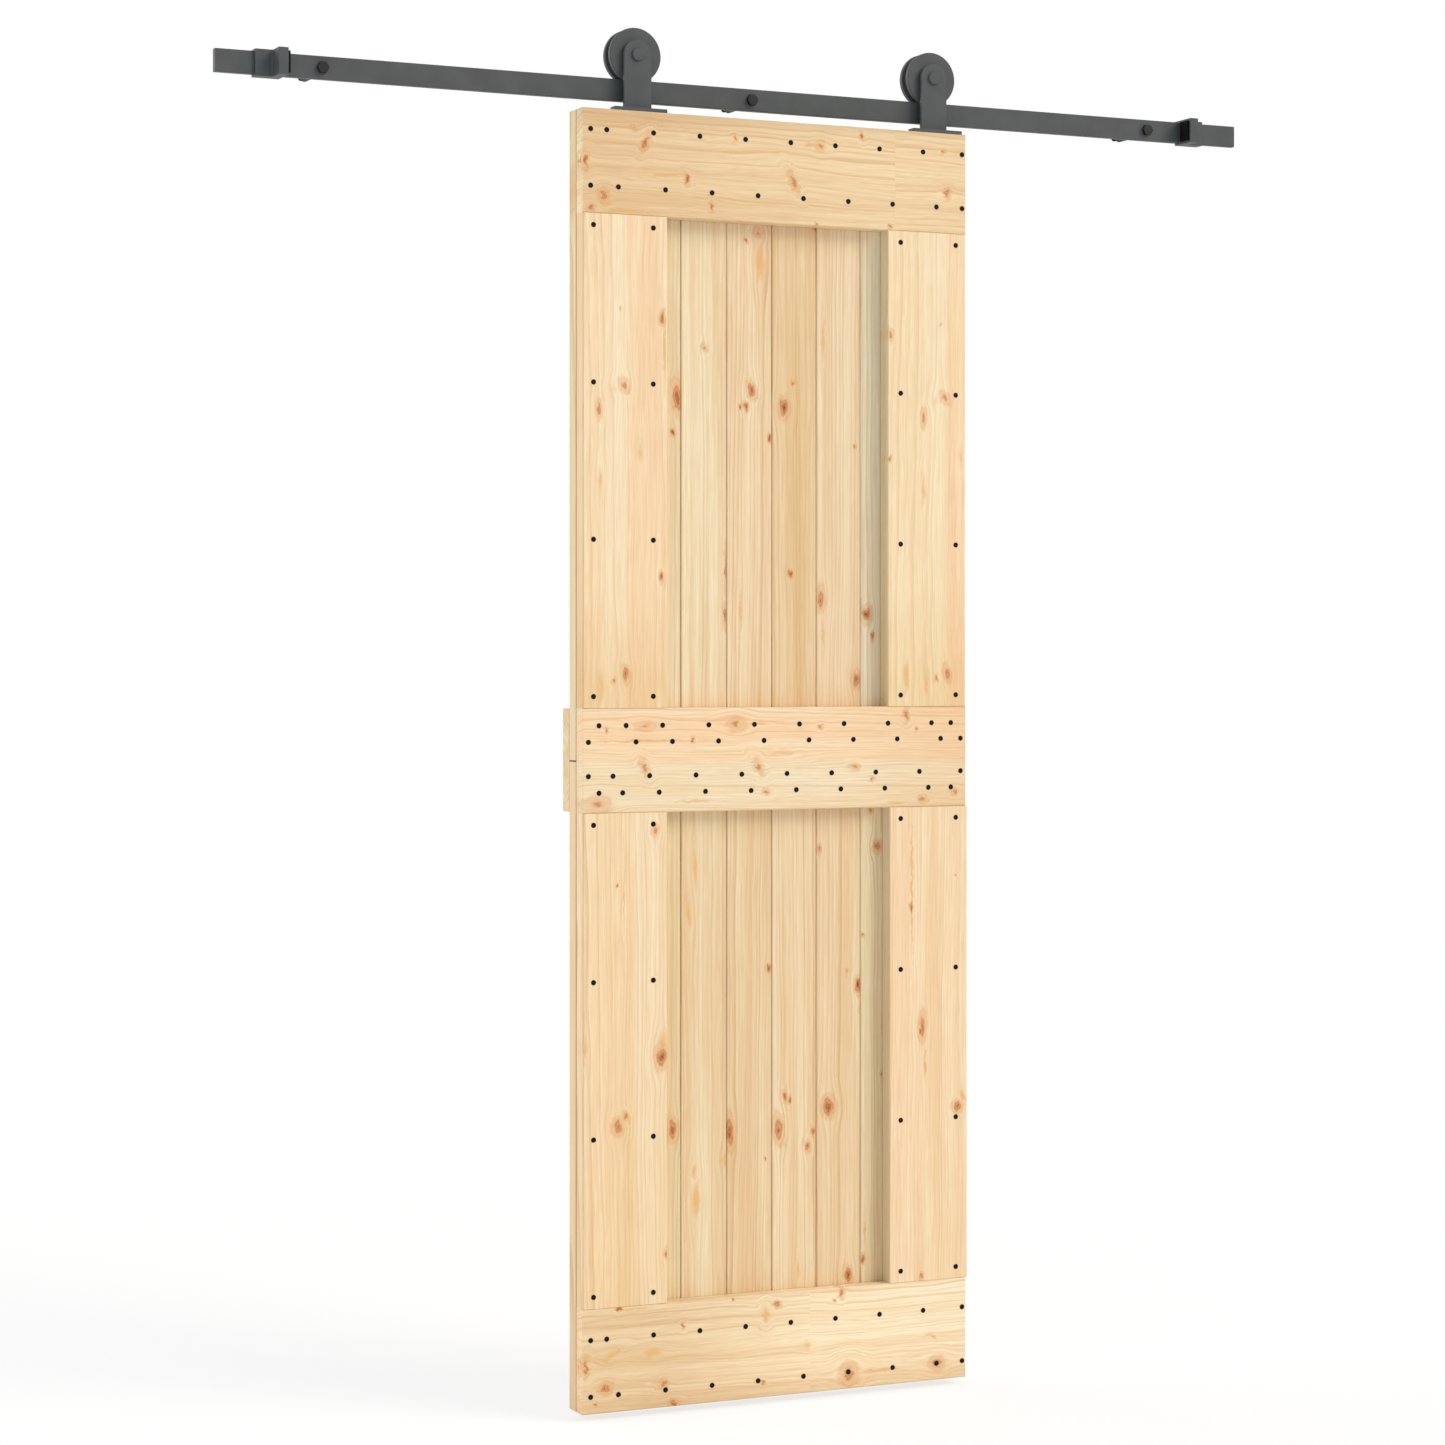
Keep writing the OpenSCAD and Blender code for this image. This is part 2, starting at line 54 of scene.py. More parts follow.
# Millimetres in a metre: patterns are worked out in millimetres
MM = 1000.0
# A size so large that a pattern doesn't change along that axis
ENDLESS = 1e6
WHITE = (1, 1, 1, 1)

# Camera: where it stands in metres, its turn in degrees, its lens and its sensor in millimetres
CAMERA_AT = (-2.4308, -5.1989, -0.9211)
CAMERA_TURN = -24.966
CAMERA_LENS = 85.25
CAMERA_SENSOR = 36.0
# The photo's side and the height of its horizon above the centre, in pixels
PHOTO_SIZE = 1445
HORIZON_ABOVE_CENTRE = 65

# Light: the share of a plain white that each source gives a face square to it, its tint,
# the side that a lamp's light comes from and its spread in degrees
SKY_SHARE = 0.56
SKY_TINT = (0.93, 1.0, 1.11)
LAMPS = {
    "key": dict(share=0.52, tint=(1.1, 1.0, 0.84), source=(1.0, -1.0, 1.0), spread=35),
    "side": dict(share=0.42, tint=(1.1, 1.0, 0.85), source=(-1.0, 0.8, 0.3), spread=60),
}

# Floor: gap under the leaf and size in metres, its finish, the light on it, and how much of its shadow
# the camera sees
FLOOR_GAP = 0.012
FLOOR_SIZE = 60.0
FLOOR_TONE = "#fcfcfa"
FLOOR_ROUGHNESS = 0.9
FLOOR_SPECULAR = 0.0
FLOOR_LIGHT = 0.92
SHADOW_SHARE = 0.3


def linear(code, alpha=1.0):
    """Linear colour of an sRGB hex value."""
    shares = [int(code[i:i + 2], 16) / 255 for i in (1, 3, 5)]
    return [s / 12.92 if s <= 0.04045 else ((s + 0.055) / 1.055) ** 2.4 for s in shares] + [alpha]


def grey(value):
    """A grey colour stop."""
    return [value, value, value, 1.0]


def add(tree, kind, links=None, stops=(), out=None, **settings):
    """Adds a node with its settings, colour stops, and values or other nodes' outputs for its sockets.

    Returns the node, or one of its outputs where that is asked for.
    """
    made = tree.nodes.new("ShaderNode" + kind)
    for name, value in settings.items():
        setattr(made, name, value)
    for socket, source in (links or {}).items():
        if isinstance(source, bpy.types.Node):
            source = source.outputs[0]
        if isinstance(source, bpy.types.NodeSocket):
            tree.links.new(source, made.inputs[socket])
        else:
            made.inputs[socket].default_value = source
    while stops and len(made.color_ramp.elements) < len(stops):
        made.color_ramp.elements.new(1.0)
    for element, (position, colour) in zip(made.color_ramp.elements if stops else (), stops):
        element.position = position
        element.color = colour
    return made if out is None else made.outputs[out]


# A mix of two colours: its sockets, and its settings for a colour that covers another or tints it
SHARE, UNDER, OVER = 0, 6, 7
COVER = dict(out=2, data_type="RGBA", blend_type="MIX")
TINT = dict(out=2, data_type="RGBA", blend_type="MULTIPLY")

# A soft mottle: its detail, and the middle of its three values
MOTTLE_DETAIL = 2.0
MOTTLE_MIDDLE = (0.5, 0.5, 0.5)


def mottle(tree, place, size, detail=MOTTLE_DETAIL):
    """A soft mottle with a size in millimetres along each axis."""
    scaled = add(tree, "Mapping", {"Vector": place, "Scale": size}, vector_type="TEXTURE")
    return add(tree, "TexNoise", {"Vector": scaled, "Scale": 1.0, "Detail": detail})


def shaken(tree, place, size, reach):
    """A place moved by a mottle, up to half the reach on each axis."""
    cloud = mottle(tree, place, size).outputs["Color"]
    centred = add(tree, "VectorMath", {0: cloud, 1: MOTTLE_MIDDLE}, operation="SUBTRACT")
    return add(tree, "VectorMath", {0: centred, 1: reach, 2: place}, operation="MULTIPLY_ADD")


def start(name, specular):
    """A new material with its node tree, its shader and the place on its object."""
    material = bpy.data.materials.new(name)
    material.use_nodes = True
    tree = material.node_tree
    shader = tree.nodes["Principled BSDF"]
    shader.inputs["Specular IOR Level"].default_value = specular
    return material, tree, shader, add(tree, "TexCoord", out="Object")


def surface(tree, shader, colour, rough, height, bump, relief, arris):
    """Gives a shader its colour, its roughness, and its relief over slightly round edges, in millimetres."""
    edge = add(tree, "Bevel", {"Radius": arris / MM})
    bumps = add(tree, "Bump", {"Height": height, "Strength": bump, "Distance": relief / MM, "Normal": edge})
    tree.links.new(colour, shader.inputs["Base Color"])
    tree.links.new(rough.outputs[0], shader.inputs["Roughness"])
    tree.links.new(bumps.outputs[0], shader.inputs["Normal"])


# Places on a board are in millimetres from its upper left corner: across the grain, into it and along it
ACROSS, DEEP, ALONG = 0, 1, 2
# Pieces whose grain stands upright
UPRIGHT = ("board", "upper", "lower")

# Depth of a board or frame piece, and the painted shadow where two layers meet: how far it reaches, and its
# tint
LAYER_DEPTH = 28
SEAM_SHADOW_REACH = 4
SEAM_SHADOW_TINT = "#cbc0b0"

# A shade is (axis, where it starts, where it is full, tint)
# Here are painted seam shadows behind and in front of a layer, and painted cool shade on the inner side of a
# stile
BACK_SEAM_SHADOW = (DEEP, LAYER_DEPTH - SEAM_SHADOW_REACH, LAYER_DEPTH, SEAM_SHADOW_TINT)
FRONT_SEAM_SHADOW = (DEEP, SEAM_SHADOW_REACH, 0, SEAM_SHADOW_TINT)
PAINTED_COOL_SHADE = (ACROSS, 0.8, 0.2, "#edf9ff")

# A stave is (axis, edge where the grain changes, where its tones fade in, tones)
# With an endless edge only the tones change; on a rail's left end face the lighter tones are painted light,
# for the leaf's lit left side
LIT_END_FACE = (0.6, 0.2)

# A board has the tones of its soft bands, a ring's width, the contrast of its late wood,
# its pith (across, deep), the trunk's lean in degrees and how far it wanders
# A knot, streak or check is (along, across, length, width, tilt in degrees, paleness from 0 to 1)
WOOD = {
    "board_1": dict(
        tones=("#f0dfbb", "#e8cea4"), ring=8.0, contrast=0.6, pith=(-150, 60), lean=1.2, wander=14,
        staves=[
            (ALONG, ENDLESS, (210, 140), ("#e7d4ae", "#dfc397")),
            (ALONG, ENDLESS, (980, 1130), ("#f0d6ae", "#e8c597")),
            # The lighter band at the foot is painted light, against the shade that the floor casts on the
            # leaf's left side
            (ALONG, ENDLESS, (1860, 1960), ("#fdeccb", "#f5dcb3")),
        ],
        shades=[FRONT_SEAM_SHADOW],
        knots=[(130, 8, 60, 20, 0, 0.5), (690, 60, 30, 18, 10, 0.2), (1500, 45, 26, 20, -8, 0.3)],
        checks=[(1051, 0, 3, 60, 0, 0.0)],
    ),
    "board_2": dict(
        tones=("#eee3c4", "#e3cfab"), ring=8.0, contrast=0.6, pith=(-140, 70), lean=-0.8, wander=14,
        staves=[(ALONG, 1050, (950, 1150), ("#ece0ba", "#e1cca2"))],
        knots=[(460, 76, 46, 17, 8, 0.2), (515, 67, 12, 7, 15, 0.0), (1655, 67, 30, 15, 0, 0.15)],
    ),
    "board_3": dict(
        tones=("#f4e6c6", "#edd3ab"), ring=9.0, contrast=0.5, pith=(250, 65), lean=1.0, wander=14,
        staves=[(ALONG, 1050, (950, 1150), ("#f1e3c2", "#ead0a8"))],
        knots=[(374, 42, 12, 9, 40, 0.6), (735, 80, 60, 5, 0, 0.5), (815, 80, 34, 9, 4, 0.4)],
        streaks=[
            (358, 82, 70, 4, 0, 0.0), (1225, 25, 60, 7, 4, 0.3), (1305, 13, 46, 9, 8, 0.2),
            (1710, 78, 24, 12, 0, 0.2), (1725, 23, 20, 8, 0, 0.2), (1776, 27, 58, 13, 0, 0.0),
        ],
    ),
    "board_4": dict(
        tones=("#f5e4c3", "#eed2ac"), ring=7.0, contrast=0.6, pith=(-180, 60), lean=-1.0, wander=12,
        staves=[(ALONG, 1050, (950, 1150), ("#efdcb7", "#e8caa1"))],
        knots=[
            (197, 35, 9, 6, 20, 0.2), (182, 57, 14, 14, 0, 0.7), (442, 45, 24, 14, 20, 0.3),
            (469, 35, 14, 9, 15, 0.2), (472, 24, 8, 5, 0, 0.0), (522, 78, 12, 6, 0, 0.1),
            (1396, 76, 12, 7, 0, 0.2), (1665, 5, 46, 14, 5, 0.15), (1713, 70, 8, 4, 0, 0.0),
        ],
        streaks=[(232, 61, 50, 16, 4, 0.0), (804, 24, 76, 6, 0, 0.4)],
    ),
    "board_5": dict(
        tones=("#edd4ae", "#e5c596"), ring=8.0, contrast=0.6, pith=(230, 70), lean=0.9, wander=16,
        staves=[(ALONG, 1050, (950, 1150), ("#f3e1c0", "#ebd0a6"))],
        knots=[
            (170, 80, 9, 8, 0, 0.1), (470, 22, 28, 16, 0, 0.05), (429, 39, 9, 7, 0, 0.45),
            (745, 34, 12, 8, 10, 0.1), (1611, 23, 16, 8, 12, 0.25), (1618, 33, 9, 5, 0, 0.25),
            (1666, 12, 42, 17, 8, 0.35), (1672, 76, 14, 7, 10, 0.25), (1696, 65, 17, 10, 15, 0.35),
        ],
        streaks=[(1898, 48, 46, 8, 0, 0.4)],
    ),
    "board_6": dict(
        tones=("#f3e1c1", "#ecd1ab"), ring=7.0, contrast=0.6, pith=(-160, 60), lean=-0.7, wander=12,
        staves=[(ALONG, 1050, (950, 1150), ("#f1ddba", "#eacda5"))],
        knots=[
            (531, 71, 8, 6, 0, 0.4), (786, 7, 34, 14, 0, 0.4), (921, 74, 23, 14, 0, 0.2),
            (1204, 5, 14, 8, 0, 0.45), (1408, 57, 10, 5, 0, 0.6), (1432, 78, 22, 13, 0, 0.0),
            (1633, 22, 30, 21, 6, 0.15), (1917, 59, 25, 13, 8, 0.1),
        ],
        streaks=[(353, 12, 70, 8, 0, 0.3), (844, 12, 40, 5, 0, 0.3), (1465, 79, 46, 3, 0, 0.1)],
    ),
    "board_7": dict(
        tones=("#f7f0d8", "#eee0c1"), ring=8.0, contrast=0.6, pith=(240, 65), lean=1.1, wander=16,
        staves=[(ALONG, 1050, (950, 1150), ("#f4e5c1", "#ebd5ac"))],
        knots=[
            (811, 11, 24, 16, 0, 0.1), (848, 22, 12, 6, 0, 0.35), (1138, 18, 12, 8, 0, 0.55),
            (1202, 31, 17, 15, 0, 0.45), (1350, 5, 8, 5, 0, 0.3), (1584, 40, 12, 6, 0, 0.3),
            (1890, 5, 15, 7, 0, 0.2),
        ],
        streaks=[(369, 40, 110, 5, 0, 0.2), (1500, 41, 40, 5, 0, 0.1), (1847, 8, 34, 4, 0, 0.0)],
    ),
    "board_8": dict(
        tones=("#f1e0bd", "#e8cea4"), ring=8.0, contrast=0.6, pith=(-150, 60), lean=0.8, wander=14,
        knots=[(560, 40, 30, 20, 0, 0.2), (1320, 70, 24, 16, 10, 0.3)],
    ),
    "top_rail": dict(
        tones=("#edd1a9", "#e2bf92"), ring=10.0, contrast=0.5, pith=(-110, 50), lean=1.4, wander=40,
        staves=[
            (ALONG, 566, (60, 560), ("#f5deb5", "#edcfa5")),
            (ALONG, ENDLESS, LIT_END_FACE, ("#f6e5c0", "#edd4aa")),
        ],
        shades=[BACK_SEAM_SHADOW, (ACROSS, 28, 0, "#f3f2f1")],
        knots=[
            (110, 50, 9, 24, 20, 0.3), (90, 28, 9, 9, 0, 0.75), (270, 33, 6, 10, 0, 0.4),
            (5, 85, 10, 23, 0, 0.2), (183, 105, 8, 17, -15, 0.1), (37, 140, 14, 20, 0, 0.45),
            (14, 160, 12, 9, 0, 0.35), (228, 148, 6, 14, 0, 0.3), (503, 14, 6, 13, -10, 0.1),
            (427, 36, 16, 14, 0, 0.65), (376, 99, 10, 30, -25, 0.45), (665, 102, 12, 17, 0, 0.45),
            (657, 32, 6, 6, 0, 0.4), (556, 162, 7, 7, 0, 0.5), (418, 166, 6, 6, 0, 0.5),
        ],
        streaks=[(150, 100, 70, 5, -8, 0.2), (72, 163, 72, 6, 0, 0.0), (408, 36, 36, 6, 0, 0.3)],
    ),
    "middle_rail": dict(
        tones=("#fbe4c1", "#fad9b2"), ring=6.0, contrast=0.4, pith=(-70, 45), lean=0.8, wander=26,
        staves=[(ACROSS, 88, (86, 90), ("#f8ebcf", "#f4e0bb"))],
        shades=[BACK_SEAM_SHADOW, (ALONG, 440, 720, "#f9efe5"), (ACROSS, 138, 172, "#f9efe2")],
        knots=[
            (109, 29, 34, 13, 0, 0.8), (40, 36, 6, 6, 0, 0.3), (272, 27, 26, 20, 0, 0.7),
            (195, 53, 6, 9, 0, 0.15), (427, 33, 8, 8, 0, 0.4), (587, 16, 9, 20, 0, 0.4),
            (607, 38, 6, 6, 0, 0.4), (108, 97, 12, 24, -25, 0.6), (25, 154, 38, 23, 0, 0.7),
            (312, 98, 12, 24, -25, 0.6), (327, 139, 11, 10, 0, 0.5), (489, 100, 16, 10, 0, 0.6),
            (522, 121, 7, 7, 0, 0.4), (618, 156, 14, 12, 0, 0.55), (678, 144, 10, 10, 0, 0.5),
        ],
        streaks=[
            (100, 53, 190, 4, 0, 0.2), (310, 27, 44, 5, 0, 0.2), (350, 74, 60, 14, 0, 0.6),
            (192, 152, 80, 5, 0, 0.3), (568, 162, 30, 4, 0, 0.1),
        ],
    ),
    "bottom_rail": dict(
        tones=("#f0dcb8", "#e4c69c"), ring=7.5, contrast=0.42, pith=(-90, 40), lean=1.8, wander=45,
        staves=[
            (ALONG, 407, (150, 420), ("#fff2d4", "#f9e2be")),
            (ALONG, ENDLESS, LIT_END_FACE, ("#fee6c0", "#f9d6aa")),
        ],
        shades=[BACK_SEAM_SHADOW, (ACROSS, 120, 176, "#f0e7df")],
        knots=[
            (63, 3, 9, 8, 0, 0.1), (5, 93, 9, 26, 0, 0.35), (176, 39, 6, 10, 0, 0.25),
            (40, 129, 18, 17, 0, 0.4), (142, 131, 12, 14, 30, 0.5), (160, 165, 15, 13, 0, 0.2),
            (320, 145, 6, 8, 0, 0.35), (21, 154, 6, 6, 0, 0.3), (264, 4, 5, 5, 0, 0.4),
            (346, 18, 11, 10, 0, 0.4), (466, 9, 9, 15, 0, 0.35), (451, 21, 6, 6, 0, 0.4),
            (479, 145, 26, 32, 0, 0.5), (646, 141, 24, 20, 0, 0.55),
        ],
        streaks=[
            (91, 5, 55, 5, 0, 0.2), (51, 76, 40, 12, -30, 0.3), (121, 79, 30, 13, 0, 0.1),
            (326, 36, 10, 26, 0, 0.2), (403, 90, 16, 12, 0, 0.6), (540, 143, 90, 6, 0, 0.3),
            (638, 96, 26, 6, 20, 0.4),
        ],
    ),
    "upper_left_stile": dict(
        tones=("#f9e4c0", "#f8dcb5"), ring=12.0, contrast=0.3, pith=(-120, 90), lean=0.9, wander=24,
        staves=[
            (ACROSS, 39, (30, 48), ("#f9e8c8", "#f8dfbb")),
            (ACROSS, 77, (74, 82), ("#fae5c2", "#f8d8b2")),
        ],
        shades=[BACK_SEAM_SHADOW, (ACROSS, 4, 0, "#f8f0e7"), (ALONG, 600, 770, "#f7f0e2")],
        knots=[
            (164, 139, 20, 9, 0, 0.3), (275, 72, 22, 14, 25, 0.6), (315, 28, 26, 9, 0, 0.45),
            (584, 138, 15, 7, 0, 0.2), (741, 75, 24, 12, 10, 0.4), (751, 54, 9, 7, 0, 0.4),
            (153, 65, 5, 4, 0, 0.7),
        ],
        streaks=[
            (215, 143, 110, 6, 0, 0.2), (282, 53, 16, 14, 0, 0.7), (382, 100, 40, 12, 0, 0.6),
            (429, 30, 60, 9, 0, 0.5), (762, 32, 50, 12, 0, 0.5),
        ],
    ),
    "upper_right_stile": dict(
        tones=("#f9e7c3", "#f8dfb8"), ring=12.0, contrast=0.3, pith=(-130, 80), lean=-1.0, wander=24,
        staves=[
            (ACROSS, 62, (52, 72), ("#f9e9c8", "#f7e0ba")),
            (ACROSS, 115, (111, 120), ("#f9e0bb", "#f7d5ad")),
        ],
        shades=[BACK_SEAM_SHADOW, PAINTED_COOL_SHADE, (ALONG, 600, 770, "#faf4e9")],
        knots=[
            (175, 6, 20, 8, 0, 0.65), (153, 102, 5, 4, 0, 0.7), (277, 109, 22, 14, 25, 0.6),
            (312, 68, 26, 9, 0, 0.45), (384, 4, 12, 5, 0, 0.4), (741, 113, 24, 12, 10, 0.4),
            (751, 92, 9, 7, 0, 0.4),
        ],
        streaks=[
            (284, 90, 16, 14, 0, 0.7), (376, 140, 40, 10, 0, 0.6), (430, 67, 60, 9, 0, 0.5),
            (746, 35, 50, 10, 0, 0.1), (761, 73, 50, 12, 0, 0.5),
        ],
    ),
    "lower_left_stile": dict(
        tones=("#f9e3bf", "#f3d5ab"), ring=8.0, contrast=0.45, pith=(-110, 70), lean=0.8, wander=20,
        staves=[(ACROSS, 92, (88, 98), ("#fae9ca", "#f5deba"))],
        shades=[BACK_SEAM_SHADOW, (ALONG, 400, 790, "#faf6ee")],
        knots=[
            (30, 127, 17, 12, 0, 0.55), (117, 60, 7, 4, 0, 0.2), (397, 138, 30, 19, 0, 0.1),
            (506, 61, 24, 18, 15, 0.45), (491, 75, 14, 8, 40, 0.5), (716, 147, 17, 8, 0, 0.25),
        ],
        streaks=[(372, 141, 34, 14, 0, 0.3), (379, 4, 46, 8, 0, 0.4), (140, 72, 120, 4, 0, 0.5)],
    ),
    "lower_right_stile": dict(
        tones=("#fae4c2", "#f7d7b1"), ring=7.0, contrast=0.35, pith=(-150, 70), lean=-0.9, wander=18,
        staves=[(ACROSS, 58, (48, 68), ("#f9e3bf", "#f4d6ae"))],
        shades=[BACK_SEAM_SHADOW, PAINTED_COOL_SHADE],
        knots=[
            (167, 41, 14, 6, 0, 0.1), (116, 125, 5, 4, 0, 0.5), (370, 62, 42, 12, 0, 0.4),
            (378, 58, 12, 7, 0, 0.15), (507, 129, 16, 15, 0, 0.3), (789, 60, 12, 6, 0, 0.4),
        ],
        streaks=[(130, 42, 240, 4, 0, 0.1), (431, 67, 50, 5, 0, 0.1), (492, 140, 20, 8, 30, 0.0)],
    ),
    "back_batten": dict(
        tones=("#f3e2bf", "#ebd0a7"), ring=9.0, contrast=0.55, pith=(90, 70), lean=1.5, wander=40,
        shades=[FRONT_SEAM_SHADOW],
        knots=[(150, 60, 26, 22, 0, 0.3), (430, 120, 18, 16, 0, 0.2), (610, 40, 12, 10, 0, 0.3)],
    ),
}
LATE_WOOD = "#cfa06c"
AMBER = "#e2af6d"
OPEN_CHECK = "#3f2a18"

# How far the colours of a mark reach, in half its size
MARK_REACH = 2.0
# A knot has a dark heart, red-brown growth rings and an orange halo
KNOT_STOPS = (
    (0.0, linear("#55290f", 1.0)), (0.09, linear("#7c3e1c", 1.0)), (0.18, linear("#bd713b", 0.95)),
    (0.25, linear("#a65e32", 0.95)), (0.36, linear("#d48f55", 0.86)), (0.45, linear("#b77142", 0.82)),
    (0.54, linear("#dc9f65", 0.62)), (0.66, linear("#e3aa71", 0.44)), (0.75, linear("#cd8f5b", 0.36)),
    (0.86, linear("#dea66c", 0.18)), (0.99, linear("#eec282", 0.0)),
)
# A resin streak fades out softly, and a drying check has a hard edge
STREAK_STOPS = ((0.0, grey(0.85)), (0.35, grey(0.7)), (0.5, grey(0.3)), (0.72, grey(0.0)))
CHECK_STOPS = ((0.0, grey(1.0)), (0.3, grey(0.9)), (0.6, grey(0.0)))
# A fully pale mark leaves out its heart: how far out it starts, and how much it is spread out
PALE_START = 1.1
PALE_SPREAD = 0.55
# How far a mark bends the grain around it, in its own size, and how far it pushes, as a share of its width
BEND_REACH = 4.0
BEND_PUSH = 0.4

# One year's ring: pale early wood, then late wood that ends in a sharp line
RING_STOPS = ((0.0, grey(0.0)), (0.35, grey(0.08)), (0.8, grey(0.9)), (0.9, grey(1.0)), (1.0, grey(0.0)))
# Good and poor years: how often they change, in rings, how evenly, how far they shift a ring,
# and the share of the contrast that the poorest year has
YEAR_PACE = 0.3
YEAR_DETAIL = 1.0
YEAR_SPREAD = 2.0
WEAK_YEAR = 0.1
# How many times less the trunk leans to the side than to the front
SIDE_LEAN = 3

# Sizes of the wood's patterns in millimetres: across the grain, into the board and along the grain
# Fibres are drawn coarser than real ones, so that they show
BAND_SIZE = (26, 40, 800)
WANDER_SIZE = (90, 90, 380)
FIBRE_SIZE = (1.6, 1.6, 70)
OUTLINE_SIZE = (7, 7, 16)
OUTLINE_SHAKE = (9, 0, 20)
# Soft bands: their detail, and the part of the mottle in which one tone passes into the other
BAND_DETAIL = 4.0
BAND_RANGE = (0.39, 0.61)
# Fibres tint the wood from this shade to none, by this share
FIBRE_STOPS = ((0.3, linear("#ecdfcd")), (0.7, linear("#ffffff")))
FIBRE_SHARE = 0.6
# Planed surface: its gloss, its roughness from fibre to fibre, how strongly its relief shows, its relief and
# its round edges in millimetres, and how far late wood stands proud, as a share of the fibres
WOOD_SPECULAR = 0.3
WOOD_ROUGHNESS = (0.5, 0.68)
WOOD_BUMP = 0.25
WOOD_RELIEF = 0.4
WOOD_ARRIS = 1.0
LATE_WOOD_RISE = 0.5
# Trunk between one board and the next in millimetres, and from one stave to the next, in rings too
BOARD_STEP = 2700
STAVE_STEP = 900
STAVE_RINGS = 4.3


def board_place(tree, name, raw):
    """Place on a board in millimetres from its upper left corner: across, into the board and along it."""
    low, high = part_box(name)
    if name.startswith(UPRIGHT):
        corner, turn, scale = (-low.x, -low.y, high.z), 0, (MM, MM, -MM)
    else:
        corner, turn, scale = (high.z, -low.y, -low.x), math.radians(-90), (MM, MM, MM)
    return add(tree, "Mapping", {
        "Vector": raw, "Location": [MM * c for c in corner], "Rotation": (0, turn, 0), "Scale": scale,
    })


def marks(tree, place, spots):
    """Distance to the nearest mark, in its own size, and how far the marks push the grain aside."""
    nearest = add(tree, "Math", {0: MARK_REACH}, operation="ABSOLUTE")
    push = add(tree, "CombineXYZ")
    for along, across, length, width, tilt, pale in spots:
        spot = add(tree, "Mapping", {
            "Vector": place, "Location": (across, 0, along), "Rotation": (0, math.radians(tilt), 0),
            "Scale": (width / 2, ENDLESS, length / 2),
        }, vector_type="TEXTURE")
        span = add(tree, "VectorMath", {0: spot}, out="Value", operation="LENGTH")
        shade = add(tree, "Math", {0: span, 1: 1 - PALE_SPREAD * pale, 2: PALE_START * pale},
                    operation="MULTIPLY_ADD")
        nearest = add(tree, "Math", {0: nearest, 1: shade}, operation="MINIMUM")
        ease = add(tree, "MapRange", {"Value": span, "From Max": BEND_REACH, "To Min": 1.0, "To Max": 0.0},
                   interpolation_type="SMOOTHSTEP")
        aside = add(tree, "VectorMath", {0: spot, "Scale": ease}, operation="SCALE")
        push = add(tree, "VectorMath", {0: aside, 1: (-BEND_PUSH * width, 0, 0), 2: push},
                   operation="MULTIPLY_ADD")
    return add(tree, "MapRange", {"Value": nearest, "From Max": MARK_REACH}), push


def board_tones(tree, place, grain, tones, ring, staves, shades):
    """Soft bands of two tones under the tones of staves and shades, and the grain that the staves shift."""
    band = mottle(tree, grain, BAND_SIZE, BAND_DETAIL)
    warm = add(tree, "MapRange", {"Value": band, "From Min": BAND_RANGE[0], "From Max": BAND_RANGE[1]})
    colour = add(tree, "Mix", {SHARE: warm, UNDER: linear(tones[0]), OVER: linear(tones[1])}, **COVER)
    parts = add(tree, "SeparateXYZ", {0: place}).outputs
    for axis, edge, fade, (pale, deep) in staves:
        past = add(tree, "Math", {0: parts[axis], 1: edge}, operation="GREATER_THAN")
        shift = add(tree, "CombineXYZ", {0: past, 2: past})
        grain = add(tree, "VectorMath", {0: shift, 1: (STAVE_RINGS * ring, 0, STAVE_STEP), 2: grain},
                    operation="MULTIPLY_ADD")
        blend = add(tree, "MapRange", {"Value": parts[axis], "From Min": fade[0], "From Max": fade[1]})
        other = add(tree, "Mix", {SHARE: warm, UNDER: linear(pale), OVER: linear(deep)}, **COVER)
        colour = add(tree, "Mix", {SHARE: blend, UNDER: colour, OVER: other}, **COVER)
    for axis, clean, full, shade in shades:
        share = add(tree, "MapRange", {"Value": parts[axis], "From Min": clean, "From Max": full})
        colour = add(tree, "Mix", {SHARE: share, UNDER: colour, OVER: linear(shade)}, **TINT)
    return colour, grain


def year_rings(tree, grain, seed, ring, contrast, pith, lean, wander):
    """How dark the late wood is, in rings around a pith that wanders along the trunk, and the bent grain."""
    bent = shaken(tree, grain, WANDER_SIZE, (wander, wander, 0))
    trunk = add(tree, "Mapping", {
        "Vector": bent, "Location": (pith[0], pith[1], BOARD_STEP * seed),
        "Rotation": (math.radians(lean), math.radians(lean / SIDE_LEAN), 0), "Scale": (ring, ring, ENDLESS),
    }, vector_type="TEXTURE")
    rings = add(tree, "VectorMath", {0: trunk}, out="Value", operation="LENGTH")
    pace = add(tree, "TexNoise", {"W": rings, "Scale": YEAR_PACE, "Detail": YEAR_DETAIL},
               noise_dimensions="1D")
    radius = add(tree, "Math", {0: pace, 1: YEAR_SPREAD, 2: rings}, operation="MULTIPLY_ADD")
    phase = add(tree, "Math", {0: radius}, operation="FRACT")
    late = add(tree, "ValToRGB", {0: phase}, stops=RING_STOPS)
    year = add(tree, "Math", {0: radius}, operation="FLOOR")
    chance = add(tree, "TexWhiteNoise", {"W": year}, noise_dimensions="1D")
    strength = add(tree, "MapRange", {"Value": chance, "To Min": WEAK_YEAR * contrast, "To Max": contrast})
    return add(tree, "Math", {0: late, 1: strength}, operation="MULTIPLY"), bent


